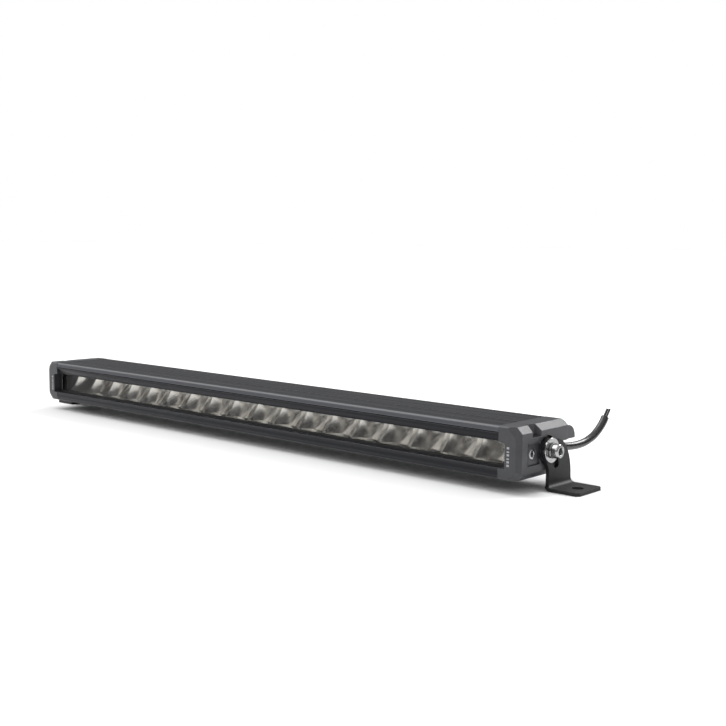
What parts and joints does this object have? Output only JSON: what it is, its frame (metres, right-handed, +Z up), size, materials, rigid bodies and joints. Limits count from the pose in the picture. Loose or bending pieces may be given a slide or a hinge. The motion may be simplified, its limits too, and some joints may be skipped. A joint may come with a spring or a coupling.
{
  "type": "led light bar",
  "caption": "Slim straight LED auxiliary light bar with a recessed full-width lens, finned housing and a tilting bolt-down bracket at each end.",
  "frame": {"origin": "middle of the footprint on the surface under the two bracket feet, centred on the bar's length and on its depth over the rear hoods, cable left out", "axes": "+X along the bar towards the end with the cable, -Y the way the light shines, +Z up"},
  "size_m": [0.6324, 0.1302, 0.048],
  "materials": {
    "housing_anodised": "black anodised extrusion, satin",
    "cover_paint": "die-cast aluminium, fine dark grey powder coat",
    "bracket_paint": "bent steel plate, black powder coat",
    "stainless": "turned stainless steel, bright",
    "brass_insert": "turned brass",
    "plate_aluminium": "plain milled aluminium",
    "lens_clear": "clear polycarbonate, polished",
    "reflector_mirror": "vacuum metallised plastic, mirror bright",
    "silicone_black": "black silicone",
    "board_white": "aluminium-core board, white solder mask",
    "circuit_green": "green solder mask",
    "led_phosphor": "yellow phosphor under a clear dome",
    "plastic_black": "moulded black nylon",
    "cable_jacket": "glossy black jacket",
    "core_insulation": "black core insulation"
  },
  "bodies": {
    "bar": {"housing_extrusion": "housing_anodised", "lens": "lens_clear", "lens_gasket": "silicone_black", "reflector_module_1": "reflector_mirror", "reflector_module_2": "reflector_mirror", "reflector_module_3": "reflector_mirror", "led_board": "board_white", "led_01": "led_phosphor", "led_02": "led_phosphor", "led_03": "led_phosphor", "led_04": "led_phosphor", "led_05": "led_phosphor", "led_06": "led_phosphor", "led_07": "led_phosphor", "led_08": "led_phosphor", "led_09": "led_phosphor", "led_10": "led_phosphor", "led_11": "led_phosphor", "led_12": "led_phosphor", "led_13": "led_phosphor", "led_14": "led_phosphor", "led_15": "led_phosphor", "led_16": "led_phosphor", "led_17": "led_phosphor", "led_18": "led_phosphor", "driver_board": "circuit_green", "driver_inductor": "plastic_black", "right_end_gasket": "silicone_black", "right_end_plate": "plate_aluminium", "right_plate_screw_lower_front": "stainless", "right_plate_screw_upper_front": "stainless", "right_plate_screw_lower_rear": "stainless", "right_plate_screw_upper_rear": "stainless", "right_end_cover": "cover_paint", "right_cover_screw_front": "stainless", "right_cover_screw_rear": "stainless", "right_threaded_insert": "brass_insert", "left_end_gasket": "silicone_black", "left_end_plate": "plate_aluminium", "left_plate_screw_lower_front": "stainless", "left_plate_screw_upper_front": "stainless", "left_plate_screw_lower_rear": "stainless", "left_plate_screw_upper_rear": "stainless", "left_end_cover": "cover_paint", "left_cover_screw_front": "stainless", "left_cover_screw_rear": "stainless", "left_threaded_insert": "brass_insert", "cable_gland": "plastic_black", "vent_plug": "plastic_black", "cable": "cable_jacket", "core_wire_positive": "core_insulation", "core_wire_negative": "core_insulation"},
    "right_clamp": {"right_pivot_bolt": "stainless", "right_flat_washer": "stainless", "right_spring_washer": "stainless"},
    "right_bracket_arm": {"right_bracket": "bracket_paint"},
    "left_clamp": {"left_pivot_bolt": "stainless", "left_flat_washer": "stainless", "left_spring_washer": "stainless"},
    "left_bracket_arm": {"left_bracket": "bracket_paint"}
  },
  "joints": [
    {"name": "right_tilt", "type": "hinge", "parent": "bar", "child": "right_clamp", "pos_m": [0.2876, -0.00275, 0.029], "axis": [1, 0, 0], "range_deg": [-90, 90]},
    {"name": "right_slot_travel", "type": "slide", "parent": "right_clamp", "child": "right_bracket_arm", "axis": [0, -0.622, 0.783], "range_m": [0, 0.0134]},
    {"name": "left_tilt", "type": "hinge", "parent": "bar", "child": "left_clamp", "pos_m": [-0.2876, -0.00275, 0.029], "axis": [1, 0, 0], "range_deg": [-90, 90]},
    {"name": "left_slot_travel", "type": "slide", "parent": "left_clamp", "child": "left_bracket_arm", "axis": [0, -0.622, 0.783], "range_m": [0, 0.0134]}
  ]
}
